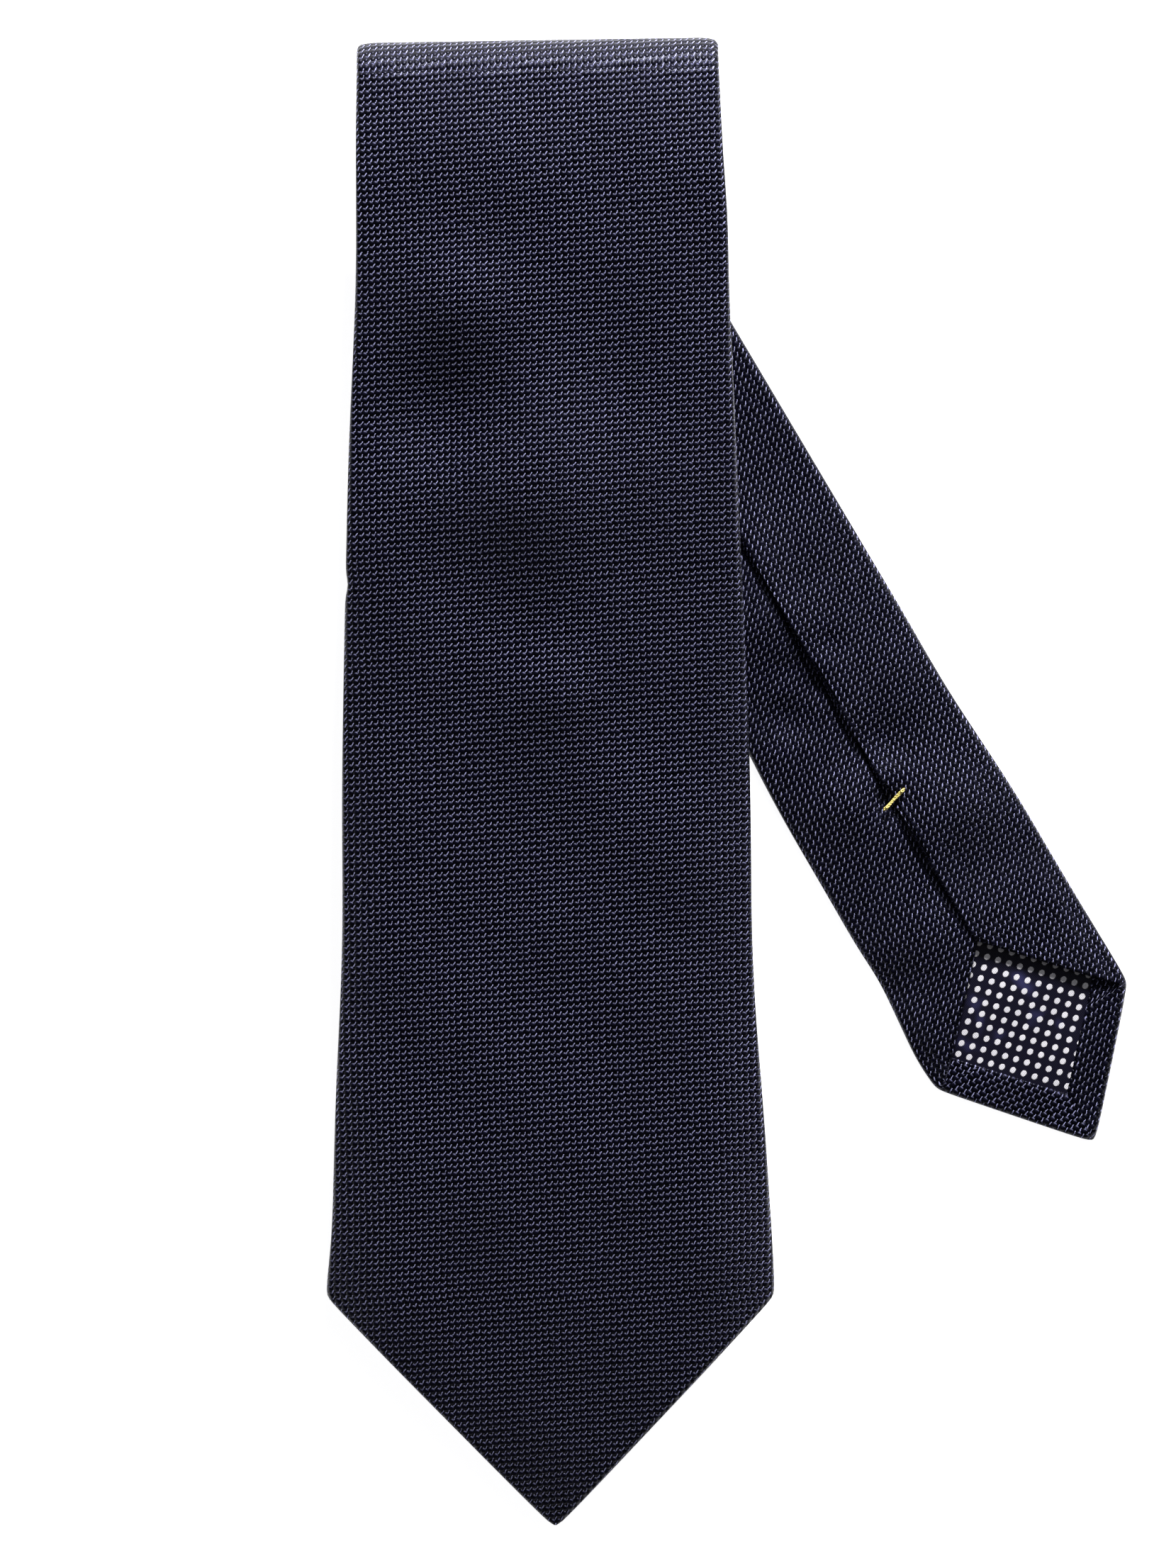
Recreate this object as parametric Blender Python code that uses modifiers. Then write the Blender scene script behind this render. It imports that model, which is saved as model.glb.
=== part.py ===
"""A long necktie, folded for display: the blade on top, four hidden folds, the tail on the table.

Each fold of the tie is one flat panel, and a crease joins each panel to the next. Under the blade the
stack leaves room for the keeper loop, so the top fold is tall: a narrow upright panel with a crease
above and below it. A panel is drawn in its own frame: x across the tie, y along it from the wide tip
to the narrow tip, z from the right side of the cloth to the back. The wrapped shell, its interlining,
linings, labels and stitches are then placed together, so that the tie lies folded on the plane z = 0.
"""

import math

import bmesh
import bpy
from mathutils import Matrix, Vector

# The tie's outline
BLADE_WIDTH = 0.0800
NECK_WIDTH = 0.0335
TAIL_WIDTH = 0.0397
BLADE_POINT = 0.0409  # from the tip to the shoulders, along the tie
TAIL_POINT = 0.0216
TOP_WIDTH = 0.0647  # at the first crease
NECK_START = 0.730  # from the wide tip, where the taper ends
NECK_LENGTH = 0.470
TIP_HALF_WIDTH = 0.0016  # a point is turned, not needle sharp
TIP_STATION = 0.001
SHOULDER_EASE = 0.0018  # half the length of the rounded shoulder

# The back of the tie
BLADE_HEM = 0.0110
TAIL_HEM = 0.0058
BLADE_LINING_TOP = 0.0860  # where the two flaps meet, from the tip
TAIL_LINING_TOP = 0.0420
LAP = 0.0080  # how far the upper flap covers the lower one
LAP_START = 0.0100  # the lap grows to its full width over this length
FLAP_GAP = 0.00015  # half the gap where two flaps meet edge to edge

# Cloth, and the heights inside one panel from its right side to its back
CLOTH = 0.0004
SHELL_FRONT = CLOTH / 2
INTERLINING_Z = (0.00045, 0.00120)
TIPPING_Z = (0.00125, 0.00145)
UNDER_FLAP = 0.0017
OVER_FLAP = 0.0022
PANEL = OVER_FLAP + CLOTH / 2
INTERLINING_INSET = 0.0018
INTERLINING_POINT = 0.0040  # from the tie's tips
INNER_SETBACK = 0.0010
TRIM_GAP = 0.00005

# The stack: creases from the wide tip to the narrow tip, on the outer edge of each fold
WIDE_TIP = (-0.0309, -0.1342)
CREASES = ((-0.0341, 0.1334), (-0.0295, -0.1036), (-0.0368, 0.1309), (-0.0383, -0.1031), (-0.0436, 0.1253))
NARROW_TIP = (0.0654, -0.0655)
LAYER_GAP = 0.0003
TURN_GAP = 0.0015  # from the tall fold's hinge lines to the cloth on either side
LOOP_ROOM = 0.0060  # under the blade, where the keeper loop stands open
STACK_TILT = math.radians(0.96)  # the folds lie on the tail at the top and on the table below
PITCH = PANEL + LAYER_GAP
TALL_FOLD = PANEL + LOOP_ROOM  # between the hinge lines of the upright panel
LEVELS = (3 * PITCH + TALL_FOLD, 3 * PITCH, 2 * PITCH, PITCH, 0.0)
TAIL = len(LEVELS)

# Trim on the back of the blade, by its distance from the wide tip
KEEPER_Y = (0.170, 0.183)
KEEPER_CLOTH = 0.0006
KEEPER_HALF_SPAN = 0.0265
KEEPER_FOOT = 0.0060
KEEPER_RISE = 0.0022
KEEPER_HEIGHT = 0.0051  # of the strap's middle above the back of the blade
MAKER_LABEL = (0.055, 0.022, 0.206)  # width, length, centre
CARE_LABEL = (0.030, 0.014, 0.230)
LABEL_CLOTH = 0.0003
BLADE_TACK = 0.127
TAIL_TACK = 0.0712  # from the narrow tip
TACK_LENGTH = 0.0055
TACK_RADIUS = 0.0003
TACK_SLANT = math.radians(17)
THREAD_RADIUS = 0.00015
STITCH_SETBACK = 0.006

# Bias seams that join the three cut pieces of the shell
BLADE_TO_NECK_SEAM = 0.120  # along the third fold
NECK_TO_TAIL_SEAM = 0.105  # along the fifth fold
SEAM_GAP = 0.0005

COLOURS = {
    "shell_cloth": ((0.021, 0.021, 0.040), 0.62),
    "interlining_wool": ((0.72, 0.69, 0.61), 0.95),
    "tipping_satin": ((0.10, 0.10, 0.15), 0.45),
    "tack_thread": ((0.95, 0.86, 0.30), 0.55),
    "sewing_thread": ((0.02, 0.02, 0.045), 0.7),
    "label_satin": ((0.62, 0.62, 0.66), 0.5),
}


def clear_scene():
    for item in list(bpy.data.objects):
        bpy.data.objects.remove(item)


def new_collection(name):
    group = bpy.data.collections.new(name)
    bpy.context.scene.collection.children.link(group)
    return group


def new_material(name):
    colour, roughness = COLOURS[name]
    material = bpy.data.materials.new(name)
    material.use_nodes = True
    shader = material.node_tree.nodes["Principled BSDF"]
    shader.inputs["Base Color"].default_value = (*colour, 1)
    shader.inputs["Roughness"].default_value = roughness
    shader.inputs["Metallic"].default_value = 0.0
    return material


# ---------------------------------------------------------------- the folded layout


def panel_points():
    return [Vector(WIDE_TIP)] + [Vector(crease) for crease in CREASES] + [Vector(NARROW_TIP)]


def panel_length(index):
    points = panel_points()
    return (points[index + 1] - points[index]).length


def panel_start(index):
    """Distance along the tie from the wide tip to the start of this panel."""
    return sum(panel_length(before) for before in range(index))


def panel_axes(index):
    """The panel's x, y and z directions, before the stack is tilted."""
    points = panel_points()
    along = (points[index + 1] - points[index]).normalized().to_3d()
    back = Vector((0, 0, -1 if index % 2 == 0 else 1))
    return along.cross(back), along, back


def stack_tilt():
    """The stack turned about its lowest edge, at the lower creases."""
    foot = Matrix.Translation((0, CREASES[1][1], 0))
    return foot @ Matrix.Rotation(STACK_TILT, 4, "X") @ foot.inverted()


def panel_matrix(index):
    across, along, back = panel_axes(index)
    turn = Matrix((across, along, back)).transposed().to_4x4()
    start = panel_points()[index]
    if index == TAIL:
        return Matrix.Translation((start.x, start.y, 0)) @ turn
    height = LEVELS[index] + (PANEL if back.z < 0 else 0)
    return stack_tilt() @ Matrix.Translation((start.x, start.y, height)) @ turn


def crease_direction(index):
    """Along the crease between this panel and the next, square to the line midway between them."""
    before = -panel_axes(index)[1]
    after = panel_axes(index + 1)[1]
    middle = (before + after).normalized()
    along = Vector((-middle.y, middle.x, 0))
    return along if along.x > 0 else -along


def fold_radius(index):
    """Half the height from one panel's middle to the next, at a low crease."""
    if index == TAIL - 1:
        rise = (CREASES[index][1] - CREASES[1][1]) * math.sin(STACK_TILT)
        return rise / 2
    return PITCH / 2


def fold_setback(index):
    """From the outer edge of a fold to the flat end of its panels."""
    if index == 0:
        return PANEL / 2 + TURN_GAP
    return fold_radius(index) + PANEL / 2


def crease_frame(index, reach):
    """x along the crease, y square to it, at a distance out from the fold's outer edge."""
    line = crease_direction(index)
    square = Vector((-line.y, line.x, 0))
    outward = square * (1 if index % 2 == 0 else -1)
    turn = Matrix((line, square, Vector((0, 0, 1)))).transposed().to_4x4()
    return Matrix.Translation(Vector(CREASES[index]).to_3d() + outward * reach) @ turn


def hinge_matrix(index):
    """A low crease's hinge line, placed so that the opened fold keeps its cloth."""
    flat = crease_frame(index, (math.pi / 2) * fold_radius(index) - fold_setback(index))
    if index == TAIL - 1:
        return Matrix.Translation((0, 0, PANEL / 2 + fold_radius(index))) @ flat
    return stack_tilt() @ Matrix.Translation((0, 0, LEVELS[index] - LAYER_GAP / 2)) @ flat


def tall_fold_hinge(level):
    """The hinge line above or below the upright panel, in the middle of the fold that it meets."""
    height = LEVELS[level] + PANEL / 2
    return stack_tilt() @ Matrix.Translation((0, 0, height)) @ crease_frame(0, -PANEL / 2)


def tall_fold_matrix():
    """The upright panel's frame: y runs down from its upper hinge line, and its back faces the stack."""
    turn = Matrix(((-1, 0, 0, 0), (0, 0, -1, PANEL / 2), (0, -1, 0, 0), (0, 0, 0, 1)))
    return tall_fold_hinge(0) @ turn


def end_slope(index, crease):
    """How far the panel's end moves along y for each unit of x."""
    across, along, _ = panel_axes(index)
    line = crease_direction(crease)
    return line.dot(along) / line.dot(across)


def panel_ends(index):
    """(y, slope) at both ends of the panel's flat part."""
    ends = []
    for crease, edge in ((index - 1, 0.0), (index, panel_length(index))):
        if crease < 0 or crease >= TAIL:
            ends.append((edge, 0.0))
            continue
        slope = end_slope(index, crease)
        inward = 1 if crease == index - 1 else -1
        ends.append((edge + inward * fold_setback(crease) * math.hypot(1, slope), slope))
    return ends


# ---------------------------------------------------------------- the tie's outline


def tie_length():
    return panel_start(TAIL) + panel_length(TAIL)


def half_width(distance):
    """Half the finished width, at a distance from the wide tip."""
    first_crease = panel_length(0)
    neck_end = NECK_START + NECK_LENGTH
    from_narrow = tie_length() - distance
    if distance < BLADE_POINT:
        return max(BLADE_WIDTH / 2 * distance / BLADE_POINT, TIP_HALF_WIDTH)
    if from_narrow < TAIL_POINT:
        return max(TAIL_WIDTH / 2 * from_narrow / TAIL_POINT, TIP_HALF_WIDTH)
    if distance < first_crease:
        share = (distance - BLADE_POINT) / (first_crease - BLADE_POINT)
        return (BLADE_WIDTH + (TOP_WIDTH - BLADE_WIDTH) * share) / 2
    if distance < NECK_START:
        share = (distance - first_crease) / (NECK_START - first_crease)
        return (TOP_WIDTH + (NECK_WIDTH - TOP_WIDTH) * share) / 2
    if distance < neck_end:
        return NECK_WIDTH / 2
    share = (distance - neck_end) / (tie_length() - TAIL_POINT - neck_end)
    return (NECK_WIDTH + (TAIL_WIDTH - NECK_WIDTH) * share) / 2


def lining_corner(hem, lining_top, slope):
    """Distances from the tip to the lowest corner and the side corners of the open diamond."""
    low = hem * math.sqrt(2) / slope
    return low, (lining_top + low) / 2


def flap_edges(from_tip, width, point, hem, lining_top):
    """(over, under): where the two flaps' inner edges lie, across the tie."""
    slope = width / 2 / point
    low, _ = lining_corner(hem, lining_top, slope)
    if from_tip >= lining_top:
        grown = min((from_tip - lining_top) / LAP_START, 1)
        return -FLAP_GAP * (1 - grown), FLAP_GAP - (FLAP_GAP + LAP) * grown
    opening = min((from_tip - low) * slope, (lining_top - from_tip) * slope)
    opening = max(opening, FLAP_GAP)
    return -opening, opening


# ---------------------------------------------------------------- mesh and curve helpers


def add_object(name, data, material, place, group, parent):
    item = bpy.data.objects.new(name, data)
    data.materials.append(material)
    group.objects.link(item)
    item.parent = parent
    item.matrix_parent_inverse = parent.matrix_world.inverted()
    item.matrix_world = place
    return item


def loft(name, rows):
    """An open surface through rows of points."""
    build = bmesh.new()
    grid = [[build.verts.new(point) for point in row] for row in rows]
    for low, high in zip(grid, grid[1:]):
        for step in range(len(low) - 1):
            build.faces.new((low[step], low[step + 1], high[step + 1], high[step]))
    mesh = bpy.data.meshes.new(name)
    build.to_mesh(mesh)
    build.free()
    return mesh


def thicken(item, thickness):
    solid = item.modifiers.new("cloth", "SOLIDIFY")
    solid.thickness = thickness
    solid.offset = 0.0
    solid.use_even_offset = True


def flat_curve(name, outline, low, high):
    """A flat outline of straight runs, extruded from one height to another."""
    curve = bpy.data.curves.new(name, "CURVE")
    curve.dimensions = "2D"
    curve.fill_mode = "BOTH"
    curve.extrude = (high - low) / 2
    line = curve.splines.new("POLY")
    line.points.add(len(outline) - 1)
    for point, (x, y) in zip(line.points, outline):
        point.co = (x, y, 0, 1)
    line.use_cyclic_u = True
    return curve, Matrix.Translation((0, 0, (low + high) / 2))


def thread_curve(name, route, radius):
    curve = bpy.data.curves.new(name, "CURVE")
    curve.dimensions = "3D"
    curve.bevel_depth = radius
    curve.bevel_resolution = 2
    curve.use_fill_caps = True
    line = curve.splines.new("POLY")
    line.points.add(len(route) - 1)
    for point, place in zip(line.points, route):
        point.co = (*place, 1)
    return curve


# ---------------------------------------------------------------- the pieces of a panel


class Panel:
    """One fold of the tie: it knows its place, and adds pieces drawn in its own frame."""

    def __init__(self, body, index, hinge, group, materials):
        upright = index is None
        self.index = index
        self.group = group
        self.materials = materials
        self.place = tall_fold_matrix() if upright else panel_matrix(index)
        self.start = panel_length(0) if upright else panel_start(index)
        self.ends = [(TURN_GAP, 0.0), (TALL_FOLD - TURN_GAP, 0.0)] if upright else panel_ends(index)
        self.frame = bpy.data.objects.new(body + "_hinge_line", None)
        self.frame.matrix_world = hinge
        self.frame.empty_display_size = 0.02
        group.objects.link(self.frame)

    def add(self, name, data, material, offset=Matrix.Identity(4)):
        return add_object(name, data, self.materials[material], self.place @ offset, self.group, self.frame)

    def half(self, y):
        return half_width(self.start + y)

    def flap_edges(self, y):
        if self.index == 0:
            return flap_edges(y, BLADE_WIDTH, BLADE_POINT, BLADE_HEM, BLADE_LINING_TOP)
        if self.index == TAIL:
            from_tip = panel_length(TAIL) - y
            return flap_edges(from_tip, TAIL_WIDTH, TAIL_POINT, TAIL_HEM, TAIL_LINING_TOP)
        return 0.0, -LAP

    def section(self, y, slope):
        """The wrapped cloth's middle surface at one station, from the under flap to the over flap."""
        half = self.half(y)
        over, under = self.flap_edges(y)
        points = [(under, UNDER_FLAP)]
        points += side_arc(half, SHELL_FRONT, UNDER_FLAP)
        points += [(-x, z) for x, z in reversed(side_arc(half, SHELL_FRONT, OVER_FLAP))]
        points += [(over, OVER_FLAP)]
        return [Vector((x, y + slope * x, z)) for x, z in points]

    def shell(self, name, stations, material="shell_cloth"):
        rows = [self.section(y, slope) for y, slope in stations]
        thicken(self.add(name, loft(name, rows), material), CLOTH)

    def sheet(self, name, corners, heights, material):
        """A flat sheet from (y, slope, half width) stations."""
        right = [(half, y + slope * half) for y, slope, half in corners]
        left = [(-half, y - slope * half) for y, slope, half in reversed(corners)]
        curve, lift = flat_curve(name, right + left, *heights)
        self.add(name, curve, material, lift)

    def interlining(self, name, stations):
        corners = []
        for y, slope in stations:
            half = max(self.half(y) - INTERLINING_INSET, TIP_HALF_WIDTH)
            corners.append((y, slope, half))
        self.sheet(name, corners, INTERLINING_Z, "interlining_wool")

    def slip_stitch(self, name, low, high):
        """The long thread that closes the back, beside the edge of the over flap."""
        z = UNDER_FLAP + CLOTH / 2 + TRIM_GAP + THREAD_RADIUS
        x = 2 * THREAD_RADIUS
        curve = thread_curve(name, [(x, low, z), (x, high, z)], THREAD_RADIUS)
        self.add(name, curve, "sewing_thread")

    def rod_on_back(self, name, middle, reach, radius, material, lift=0.0):
        """A short thread lying on the back, from its middle and half its length as (x, y) vectors."""
        z = PANEL + TRIM_GAP + radius + lift
        route = [(*(Vector(middle) + Vector(reach) * side), z) for side in (-1, 1)]
        self.add(name, thread_curve(name, route, radius), material)

    def bar_tack(self, name, y):
        slant = Vector((math.cos(TACK_SLANT), math.sin(TACK_SLANT))) * (TACK_LENGTH / 2 - TACK_RADIUS)
        self.rod_on_back(name, (0, y), slant, TACK_RADIUS, "tack_thread")


def side_arc(half, low, high, steps=4):
    """The turned edge of the shell at +x, from the back down to the front."""
    radius = (high - low) / 2
    turns = [math.pi / 2 - math.pi * step / steps for step in range(steps + 1)]
    middle = (low + high) / 2
    centre = half - CLOTH / 2 - radius
    return [(centre + radius * math.cos(turn), middle + radius * math.sin(turn)) for turn in turns]


def point_stations(point, hem, lining_top, width):
    """Distances from a tip where the outline or the flaps turn."""
    low, side = lining_corner(hem, lining_top, width / 2 / point)
    shoulder = [point - SHOULDER_EASE, point + SHOULDER_EASE]
    return sorted([TIP_STATION, low, side, lining_top, lining_top + LAP_START] + shoulder)


def lining_stations(point, hem, lining_top, width):
    """(distance from the tip, half width) of a tipping: it reaches under the hem and the flaps."""
    slope = width / 2 / point
    inset = hem * 0.4
    low = 2 * inset
    high = lining_top + hem
    widest = width / 2 - inset
    return [
        (low, TIP_HALF_WIDTH),
        (low + (widest - TIP_HALF_WIDTH) / slope, widest),
        (high - (widest - TIP_HALF_WIDTH) / slope, widest),
        (high, TIP_HALF_WIDTH),
    ]


def blade(panel):
    stations = [(y, 0.0) for y in point_stations(BLADE_POINT, BLADE_HEM, BLADE_LINING_TOP, BLADE_WIDTH)]
    panel.shell("blade_shell", stations + [panel.ends[1]])
    end, slope = panel.ends[1]
    point = [(INTERLINING_POINT, 0.0), (BLADE_POINT + INNER_SETBACK, 0.0)]
    panel.interlining("blade_interlining", point + [(end - INNER_SETBACK, slope)])
    lining = lining_stations(BLADE_POINT, BLADE_HEM, BLADE_LINING_TOP, BLADE_WIDTH)
    panel.sheet("blade_tipping", [(y, 0.0, half) for y, half in lining], TIPPING_Z, "tipping_satin")
    panel.slip_stitch("blade_slip_stitch", BLADE_LINING_TOP + LAP_START + 0.002, end - STITCH_SETBACK)
    panel.bar_tack("blade_bar_tack", BLADE_TACK)
    keeper_loop(panel)
    label(panel, "maker_label", MAKER_LABEL)
    label(panel, "care_label", CARE_LABEL)


def label(panel, name, size):
    """A blank woven label, held by a stitch along each short side."""
    width, length, centre = size
    low, high = centre - length / 2, centre + length / 2
    heights = (PANEL + TRIM_GAP, PANEL + TRIM_GAP + LABEL_CLOTH)
    panel.sheet(name, [(low, 0.0, width / 2), (high, 0.0, width / 2)], heights, "label_satin")
    for side, word in ((-1, "left"), (1, "right")):
        middle = (side * (width / 2 - 0.002), centre)
        reach = (0, length / 2 - 0.002)
        lift = LABEL_CLOTH + TRIM_GAP
        panel.rod_on_back(f"{name}_stitch_{word}", middle, reach, THREAD_RADIUS, "sewing_thread", lift)


def keeper_loop(panel):
    """A strap across the back that holds the tail, sewn down at both ends and open beneath."""
    foot_z = PANEL + 2 * TRIM_GAP + KEEPER_CLOTH / 2
    top_z = PANEL + KEEPER_HEIGHT
    side = [
        (KEEPER_HALF_SPAN + KEEPER_RISE + KEEPER_FOOT, foot_z),
        (KEEPER_HALF_SPAN + KEEPER_RISE, foot_z),
        (KEEPER_HALF_SPAN + KEEPER_RISE * 0.45, (foot_z + top_z) / 2),
        (KEEPER_HALF_SPAN, top_z),
    ]
    profile = side + [(-x, z) for x, z in reversed(side)]
    rows = [[Vector((x, y, z)) for x, z in profile] for y in KEEPER_Y]
    thicken(panel.add("keeper_loop", loft("keeper_loop", rows), "shell_cloth"), KEEPER_CLOTH)
    middle_y = sum(KEEPER_Y) / 2
    for sign, word in ((-1, "left"), (1, "right")):
        middle = (sign * (KEEPER_HALF_SPAN + KEEPER_RISE + KEEPER_FOOT * 0.6), middle_y)
        reach = (0, (KEEPER_Y[1] - KEEPER_Y[0]) / 2 - 0.001)
        lift = KEEPER_CLOTH + 2 * TRIM_GAP
        panel.rod_on_back(f"keeper_stitch_{word}", middle, reach, THREAD_RADIUS, "sewing_thread", lift)


def top_fold(panel):
    """The upright panel at the top of the stack."""
    (low, _), (high, _) = panel.ends
    panel.shell("top_fold_shell", panel.ends)
    panel.interlining("top_fold_interlining", [(low + INNER_SETBACK, 0.0), (high - INNER_SETBACK, 0.0)])
    panel.slip_stitch("top_fold_slip_stitch", low + INNER_SETBACK, high - INNER_SETBACK)


def plain_fold(panel, number, shell_name):
    """A hidden fold with no seam across it."""
    panel.shell(shell_name, panel.ends)
    inner_fold(panel, number)


def inner_fold(panel, number):
    (low, low_slope), (high, high_slope) = panel.ends
    stations = [(low + INNER_SETBACK, low_slope), (high - INNER_SETBACK, high_slope)]
    panel.interlining(f"interlining_{number}", stations)
    panel.slip_stitch(f"slip_stitch_{number}", low + STITCH_SETBACK, high - STITCH_SETBACK)


def seamed_fold(panel, number, seam, shells, thread):
    """A hidden fold where two cut pieces of the shell meet in a seam on the bias."""
    bias = 1.0
    half_gap = SEAM_GAP / 2 * math.hypot(1, bias)
    panel.shell(shells[0], [panel.ends[0], (seam - half_gap, bias)])
    panel.shell(shells[1], [(seam + half_gap, bias), panel.ends[1]])
    inner_fold(panel, number)
    reach = panel.half(seam) - 2 * PANEL
    route = [(x, seam + bias * x, SHELL_FRONT) for x in (-reach, reach)]
    panel.add(thread, thread_curve(thread, route, THREAD_RADIUS), "sewing_thread")


def tail(panel):
    length = panel_length(TAIL)
    tip_side = point_stations(TAIL_POINT, TAIL_HEM, TAIL_LINING_TOP, TAIL_WIDTH)
    stations = [panel.ends[0]] + [(length - y, 0.0) for y in reversed(tip_side)]
    panel.shell("tail_shell", stations)
    low, slope = panel.ends[0]
    point = [(length - TAIL_POINT - INNER_SETBACK, 0.0), (length - INTERLINING_POINT, 0.0)]
    panel.interlining("tail_interlining", [(low + INNER_SETBACK, slope)] + point)
    lining = lining_stations(TAIL_POINT, TAIL_HEM, TAIL_LINING_TOP, TAIL_WIDTH)
    corners = [(length - y, 0.0, half) for y, half in reversed(lining)]
    panel.sheet("tail_tipping", corners, TIPPING_Z, "tipping_satin")
    stitch_end = length - TAIL_LINING_TOP - LAP_START - 0.002
    panel.slip_stitch("tail_slip_stitch", low + STITCH_SETBACK, stitch_end)
    panel.bar_tack("tail_bar_tack", length - TAIL_TACK)


def main():
    clear_scene()
    group = new_collection("necktie")
    materials = {name: new_material(name) for name in COLOURS}
    hinges = [Matrix.Identity(4), tall_fold_hinge(0), tall_fold_hinge(1)]
    hinges += [hinge_matrix(crease) for crease in range(1, TAIL)]
    bodies = ("blade", "top_fold", "fold_2", "fold_3", "fold_4", "fold_5", "tail")
    panels = {}
    for body, index, hinge in zip(bodies, (0, None, 1, 2, 3, 4, TAIL), hinges):
        panels[body] = Panel(body, index, hinge, group, materials)
    bpy.context.view_layer.update()
    blade(panels["blade"])
    top_fold(panels["top_fold"])
    plain_fold(panels["fold_2"], 2, "blade_shell_fold_2")
    shells = ("blade_shell_fold_3", "neck_shell_fold_3")
    seamed_fold(panels["fold_3"], 3, BLADE_TO_NECK_SEAM, shells, "blade_to_neck_seam")
    plain_fold(panels["fold_4"], 4, "neck_shell_fold_4")
    shells = ("neck_shell_fold_5", "tail_shell_fold_5")
    seamed_fold(panels["fold_5"], 5, NECK_TO_TAIL_SEAM, shells, "neck_to_tail_seam")
    tail(panels["tail"])


main()
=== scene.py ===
"""The looks of the folded necktie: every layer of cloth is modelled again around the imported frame.

A point of the tie is given as x across the tie, y along one fold and z from the right side of the cloth
to the back. Each fold is placed as in the CAD model, and a soft height field then drapes it.
"""

import math

import bpy
import numpy as np
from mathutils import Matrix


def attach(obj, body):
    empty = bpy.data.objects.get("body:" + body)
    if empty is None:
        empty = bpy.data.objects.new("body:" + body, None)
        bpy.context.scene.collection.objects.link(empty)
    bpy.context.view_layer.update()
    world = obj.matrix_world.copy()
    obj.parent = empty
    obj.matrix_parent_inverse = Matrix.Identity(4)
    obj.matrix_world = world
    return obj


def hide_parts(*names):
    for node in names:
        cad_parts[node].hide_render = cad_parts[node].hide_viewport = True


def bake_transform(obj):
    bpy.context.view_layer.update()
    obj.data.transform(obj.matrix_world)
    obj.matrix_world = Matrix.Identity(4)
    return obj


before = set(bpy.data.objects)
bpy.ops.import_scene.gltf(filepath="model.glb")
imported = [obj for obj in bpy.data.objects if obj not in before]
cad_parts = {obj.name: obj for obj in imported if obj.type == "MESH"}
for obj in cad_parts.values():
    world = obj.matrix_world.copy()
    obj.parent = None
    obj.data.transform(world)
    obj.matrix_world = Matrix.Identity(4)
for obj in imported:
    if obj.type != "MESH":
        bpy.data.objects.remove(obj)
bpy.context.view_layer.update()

# The layout of the CAD model, in metres: the tips and the outer edge of each fold
WIDE_TIP = (-0.0309, -0.1342)
CREASES = ((-0.0341, 0.1334), (-0.0295, -0.1036), (-0.0368, 0.1309), (-0.0383, -0.1031), (-0.0436, 0.1253))
NARROW_TIP = (0.0654, -0.0655)
POINTS = [np.array(point) for point in (WIDE_TIP, *CREASES, NARROW_TIP)]
TAIL = len(CREASES)
PANEL = 0.0024
PITCH = 0.0027
LOOP_ROOM = 0.0060
LEVELS = (3 * PITCH + PANEL + LOOP_ROOM, 3 * PITCH, 2 * PITCH, PITCH, 0.0)
STACK_TILT = math.radians(0.96)

# The outline
BLADE_WIDTH = 0.0800
NECK_WIDTH = 0.0335
TAIL_WIDTH = 0.0397
TOP_WIDTH = 0.0647
BLADE_POINT = 0.0409
TAIL_POINT = 0.0216
NECK_START = 0.730
NECK_END = 1.200
TIP_ROUNDING = 0.0010
SHOULDER_ROUNDING = 0.0004

# The wrapped cloth
CLOTH = 0.0004
FACE_Z = 0.0002
UNDER_Z = 0.0017
OVER_Z = 0.0022
HEM_Z = 0.00168
FELT_Z = 0.00082
FELT_CLOTH = 0.0007
FELT_INSET = 0.0018
LINING_Z = 0.00135
LAP = 0.0080
LAP_START = 0.0100
TURN_RADIUS = 0.00032
TURN_DEPTH = 0.0020
LEAST_HEM = 0.0004
HEM_DROP = 0.0003
LEAST_TURN = 0.0001
TUCK = 0.00045  # how far a flap stands above the hem beside it
OVER_SEAM_RISE = 0.00065
UNDER_SEAM_RISE = -0.00012
SEAM_REACH = 0.006
LEAST_FELT = 0.0012
SATIN = 0.0002
LINING_TUCK = 0.0008
POINT_TRIM = {0: (BLADE_WIDTH, BLADE_POINT, 0.0110, 0.0860), TAIL: (TAIL_WIDTH, TAIL_POINT, 0.0058, 0.0420)}

# Trim
KEEPER_Y = (0.170, 0.183)
KEEPER_HALF_SPAN = 0.0265
KEEPER_FOOT = 0.0045
KEEPER_RISE = 0.0022
KEEPER_HEIGHT = 0.0033
MAKER_LABEL = (0.055, 0.022, 0.206)
CARE_LABEL = (0.030, 0.014, 0.230)
BLADE_TACK = 0.127
TAIL_TACK = 0.0712
TACK_SLANT = math.radians(17)
TACK_STRANDS = ((-0.00017, 0.0054), (0.0, 0.0059), (0.00017, 0.0053))  # (place across, length)
TACK_BITES = (-0.36, 0.02, 0.38)
TACK_LENGTH = 0.0054
TACK_HALF_WIDTH = 0.00030
TACK_THREAD = 0.00014
BLADE_TO_NECK_SEAM = 0.120
NECK_TO_TAIL_SEAM = 0.105
THREAD = 0.00015
STITCH = 0.0015
STITCH_PITCH = 0.0022

# The steps of the meshes, in metres
FINE = 0.0010
MIDDLING = 0.0021
COARSE = 0.0030
TAIL_STEP = 0.0007
TIP_GAP = 0.00004

# The creases
TOP_ROLL = 0.0054  # from the outer edge of the top fold to where the flat cloth starts to turn
SLOPE_EASE = 0.03  # how far from a crease the rows of the mesh still slant with it
ROLL_MIDDLE = (math.radians(76), math.radians(104))  # the stretch of the roll that rides on top_fold
CORNER_EASE = 0.09
CORNER_REACH = 0.0035
SEAM_GAP = 0.0003

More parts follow.
